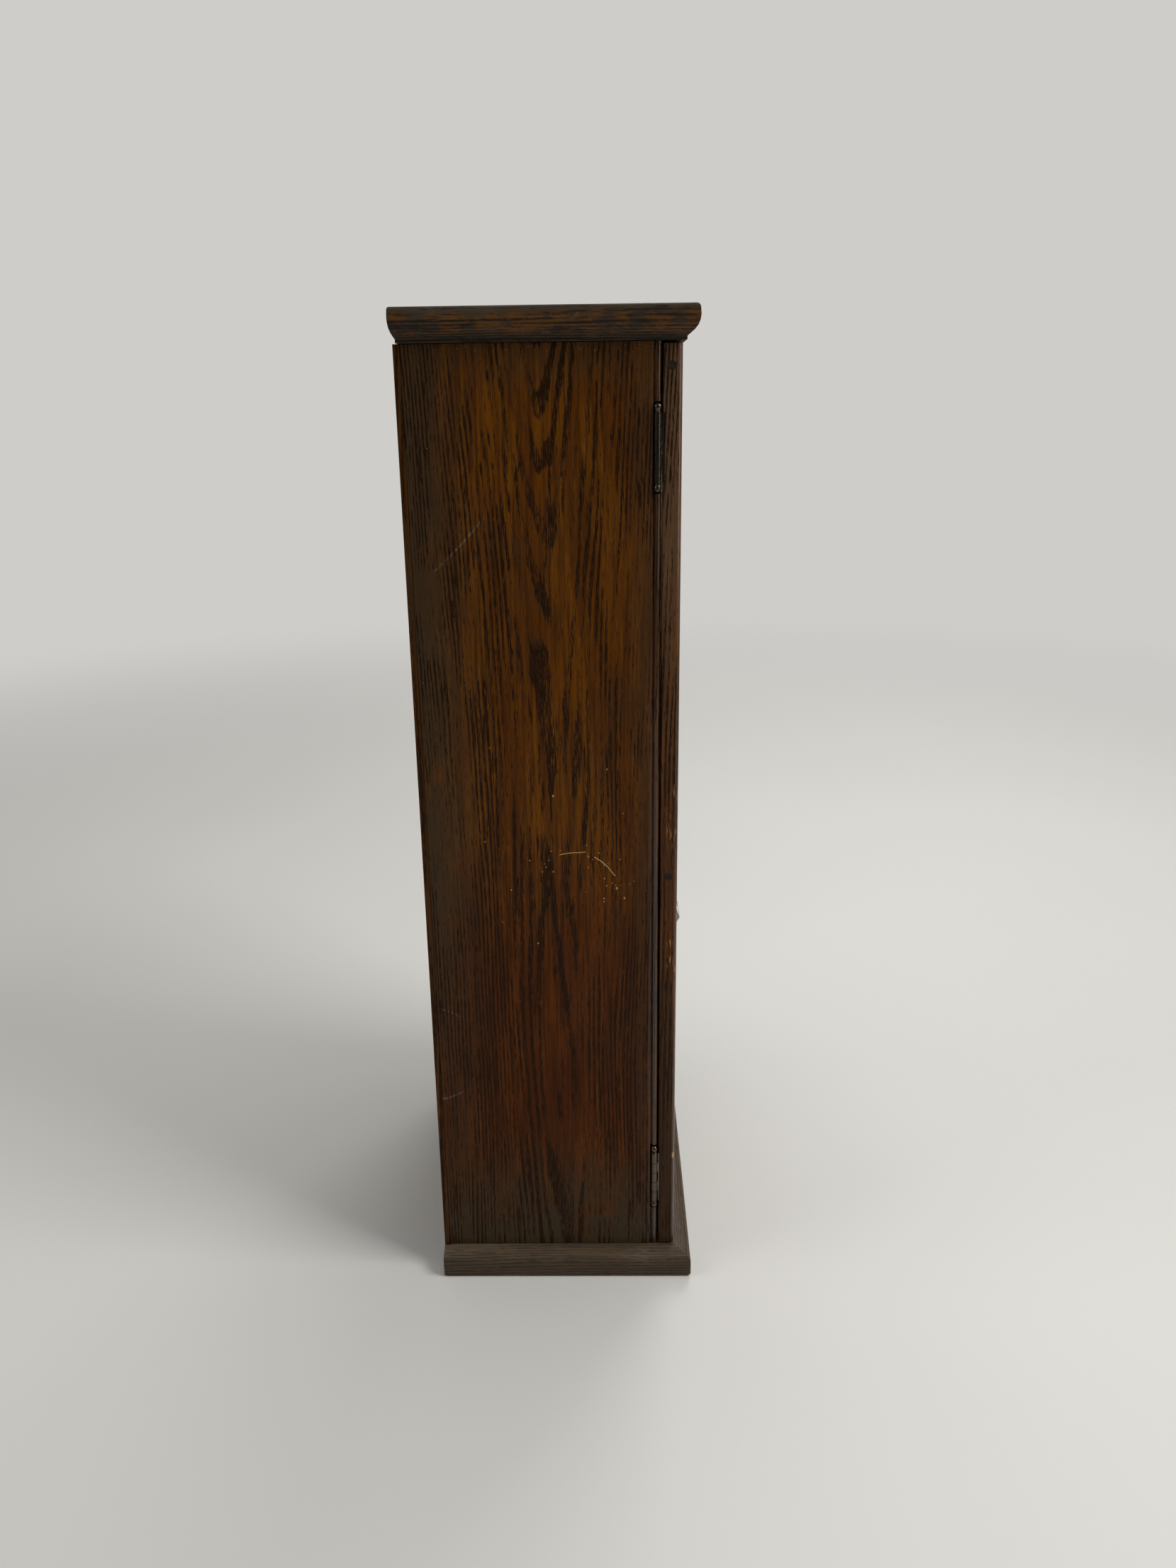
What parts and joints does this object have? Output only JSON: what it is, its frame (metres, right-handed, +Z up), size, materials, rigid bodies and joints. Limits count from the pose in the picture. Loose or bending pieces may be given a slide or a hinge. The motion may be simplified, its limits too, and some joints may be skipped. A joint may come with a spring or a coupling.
{
  "type": "punch time clock",
  "caption": "Tall narrow oak-cased mechanical time clock: glazed dial door with card throat, pendulum movement, printing unit and side punch lever.",
  "frame": {"origin": "middle of the underside of the whole clock box", "axes": "+Z up, the door faces -Y, the punch lever is on the +X side and the door hinges are on the -X side"},
  "size_m": [0.357, 0.2086, 0.762],
  "materials": {
    "oak": "dark stained oak under a worn satin varnish",
    "oak_dark": "near-black stained oak, rubbed at the edges",
    "bronze": "darkened brass",
    "brass": "brushed and lacquered brass, lightly tarnished",
    "steel": "plain turned steel",
    "nickel": "worn nickel plate",
    "iron": "black enamelled iron",
    "enamel": "cream enamel with printed figures",
    "glass": "clear sheet glass",
    "ribbon": "inked woven ribbon"
  },
  "bodies": {
    "case": {"side_board_left": "oak", "side_board_right": "oak", "back_board": "oak", "seat_board": "oak", "base_board": "oak_dark", "top_board": "oak_dark", "dial_mat": "oak_dark", "upper_hinge_case_leaf": "bronze", "upper_hinge_pin": "bronze", "lower_hinge_case_leaf": "bronze", "lower_hinge_pin": "bronze", "dial_bezel": "brass", "movement_front_plate": "brass", "movement_back_plate": "brass", "lever_bush": "brass", "lever_return_spring": "steel", "chute_bar_lower": "steel", "chute_bar_upper": "steel", "card_chute": "nickel", "bell": "nickel", "recorder_frame_left": "iron", "recorder_frame_right": "iron", "suspension_bracket": "iron", "bell_stand": "iron", "dial": "enamel", "ink_ribbon": "ribbon"},
    "door": {"door_stile_left": "oak", "door_stile_right": "oak", "door_rail_top": "oak", "door_rail_middle": "oak", "door_rail_bottom": "oak", "dial_glass": "glass", "glass_bead": "oak", "door_panel": "oak", "card_throat": "nickel", "lock_case": "brass", "lock_escutcheon": "brass", "upper_hinge_door_leaf": "bronze", "lower_hinge_door_leaf": "bronze"},
    "lock": {"lock_cylinder": "nickel"},
    "minute_hand": {"minute_hand": "iron", "centre_wheel": "brass"},
    "hour_hand": {"hour_hand": "iron", "hour_wheel": "brass"},
    "third_wheel": {"third_wheel": "brass"},
    "escape_wheel": {"escape_wheel": "brass"},
    "mainspring_barrel": {"mainspring_barrel": "brass"},
    "pallet_anchor": {"pallet_anchor": "steel"},
    "pendulum": {"pendulum_rod": "steel", "pendulum_bob": "brass"},
    "drive_rod": {"drive_rod": "steel"},
    "minute_type_wheel": {"minute_type_wheel": "brass"},
    "hour_type_wheel": {"hour_type_wheel": "brass"},
    "punch_lever": {"lever_shaft": "steel", "punch_lever": "iron", "lever_knob": "iron"},
    "hammer": {"hammer": "steel"},
    "ribbon_spool_left": {"ribbon_spool_left": "iron"},
    "ribbon_spool_right": {"ribbon_spool_right": "iron"}
  },
  "joints": [
    {"name": "door_hinge", "type": "hinge", "parent": "case", "child": "door", "pos_m": [-0.1651, -0.0738, 0.381], "axis": [0, 0, -1], "range_deg": [0, 110]},
    {"name": "lock_turn", "type": "hinge", "parent": "door", "child": "lock", "pos_m": [0.1165, -0.0773, 0.405], "axis": [0, -1, 0], "range_deg": [0, 90]},
    {"name": "minute_hand_turn", "type": "hinge", "parent": "case", "child": "minute_hand", "pos_m": [-0.0115, -0.03, 0.575], "axis": [0, 1, 0], "continuous": true},
    {"name": "hour_hand_turn", "type": "hinge", "parent": "case", "child": "hour_hand", "pos_m": [-0.0115, -0.06, 0.575], "axis": [0, 1, 0], "continuous": true},
    {"name": "third_wheel_turn", "type": "hinge", "parent": "case", "child": "third_wheel", "pos_m": [0.004, -0.02, 0.59711], "axis": [0, 1, 0], "continuous": true},
    {"name": "escape_wheel_turn", "type": "hinge", "parent": "case", "child": "escape_wheel", "pos_m": [-0.0115, -0.02, 0.61037], "axis": [0, 1, 0], "continuous": true},
    {"name": "barrel_turn", "type": "hinge", "parent": "case", "child": "mainspring_barrel", "pos_m": [-0.0391, -0.03, 0.5627], "axis": [0, 1, 0], "continuous": true},
    {"name": "anchor_rock", "type": "hinge", "parent": "case", "child": "pallet_anchor", "pos_m": [-0.0115, -0.018, 0.63], "axis": [0, 1, 0], "range_deg": [-4.6, 4.6]},
    {"name": "pendulum_swing", "type": "hinge", "parent": "case", "child": "pendulum", "pos_m": [-0.0115, 0.056, 0.672], "axis": [0, 1, 0], "range_deg": [-2.5, 2.5]},
    {"name": "drive_rod_turn", "type": "hinge", "parent": "case", "child": "drive_rod", "pos_m": [-0.0115, -0.015, 0.38], "axis": [0, 0, 1], "continuous": true},
    {"name": "minute_type_turn", "type": "hinge", "parent": "case", "child": "minute_type_wheel", "pos_m": [-0.0115, -0.015, 0.19], "axis": [1, 0, 0], "continuous": true},
    {"name": "hour_type_turn", "type": "hinge", "parent": "case", "child": "hour_type_wheel", "pos_m": [-0.0295, -0.015, 0.19], "axis": [1, 0, 0], "continuous": true},
    {"name": "lever_pull", "type": "hinge", "parent": "case", "child": "punch_lever", "pos_m": [0.0885, 0, 0.11], "axis": [1, 0, 0], "range_deg": [0, 30], "stiffness_Nm_per_rad": 0.3, "springref_deg": -34.38},
    {"name": "hammer_strike", "type": "hinge", "parent": "case", "child": "hammer", "pos_m": [-0.0115, -0.064, 0.12], "axis": [-1, 0, 0], "range_deg": [0, 9.1]},
    {"name": "ribbon_left_turn", "type": "hinge", "parent": "case", "child": "ribbon_spool_left", "pos_m": [-0.0645, -0.0345, 0.19], "axis": [0, 0, 1], "continuous": true},
    {"name": "ribbon_right_turn", "type": "hinge", "parent": "case", "child": "ribbon_spool_right", "pos_m": [0.0415, -0.0345, 0.19], "axis": [0, 0, 1], "continuous": true}
  ],
  "couplings": [
    {"joint": "hour_hand_turn", "follows": "minute_hand_turn", "ratio": 0.083333},
    {"joint": "third_wheel_turn", "follows": "minute_hand_turn", "ratio": -8},
    {"joint": "escape_wheel_turn", "follows": "minute_hand_turn", "ratio": 60},
    {"joint": "barrel_turn", "follows": "minute_hand_turn", "ratio": -0.16667},
    {"joint": "drive_rod_turn", "follows": "minute_hand_turn", "ratio": -1},
    {"joint": "minute_type_turn", "follows": "minute_hand_turn", "ratio": -1},
    {"joint": "hour_type_turn", "follows": "minute_hand_turn", "ratio": -0.041667},
    {"joint": "anchor_rock", "follows": "pendulum_swing", "ratio": 1.7925},
    {"joint": "hammer_strike", "follows": "lever_pull", "ratio": 0.3},
    {"joint": "ribbon_right_turn", "follows": "ribbon_left_turn", "ratio": 1}
  ]
}
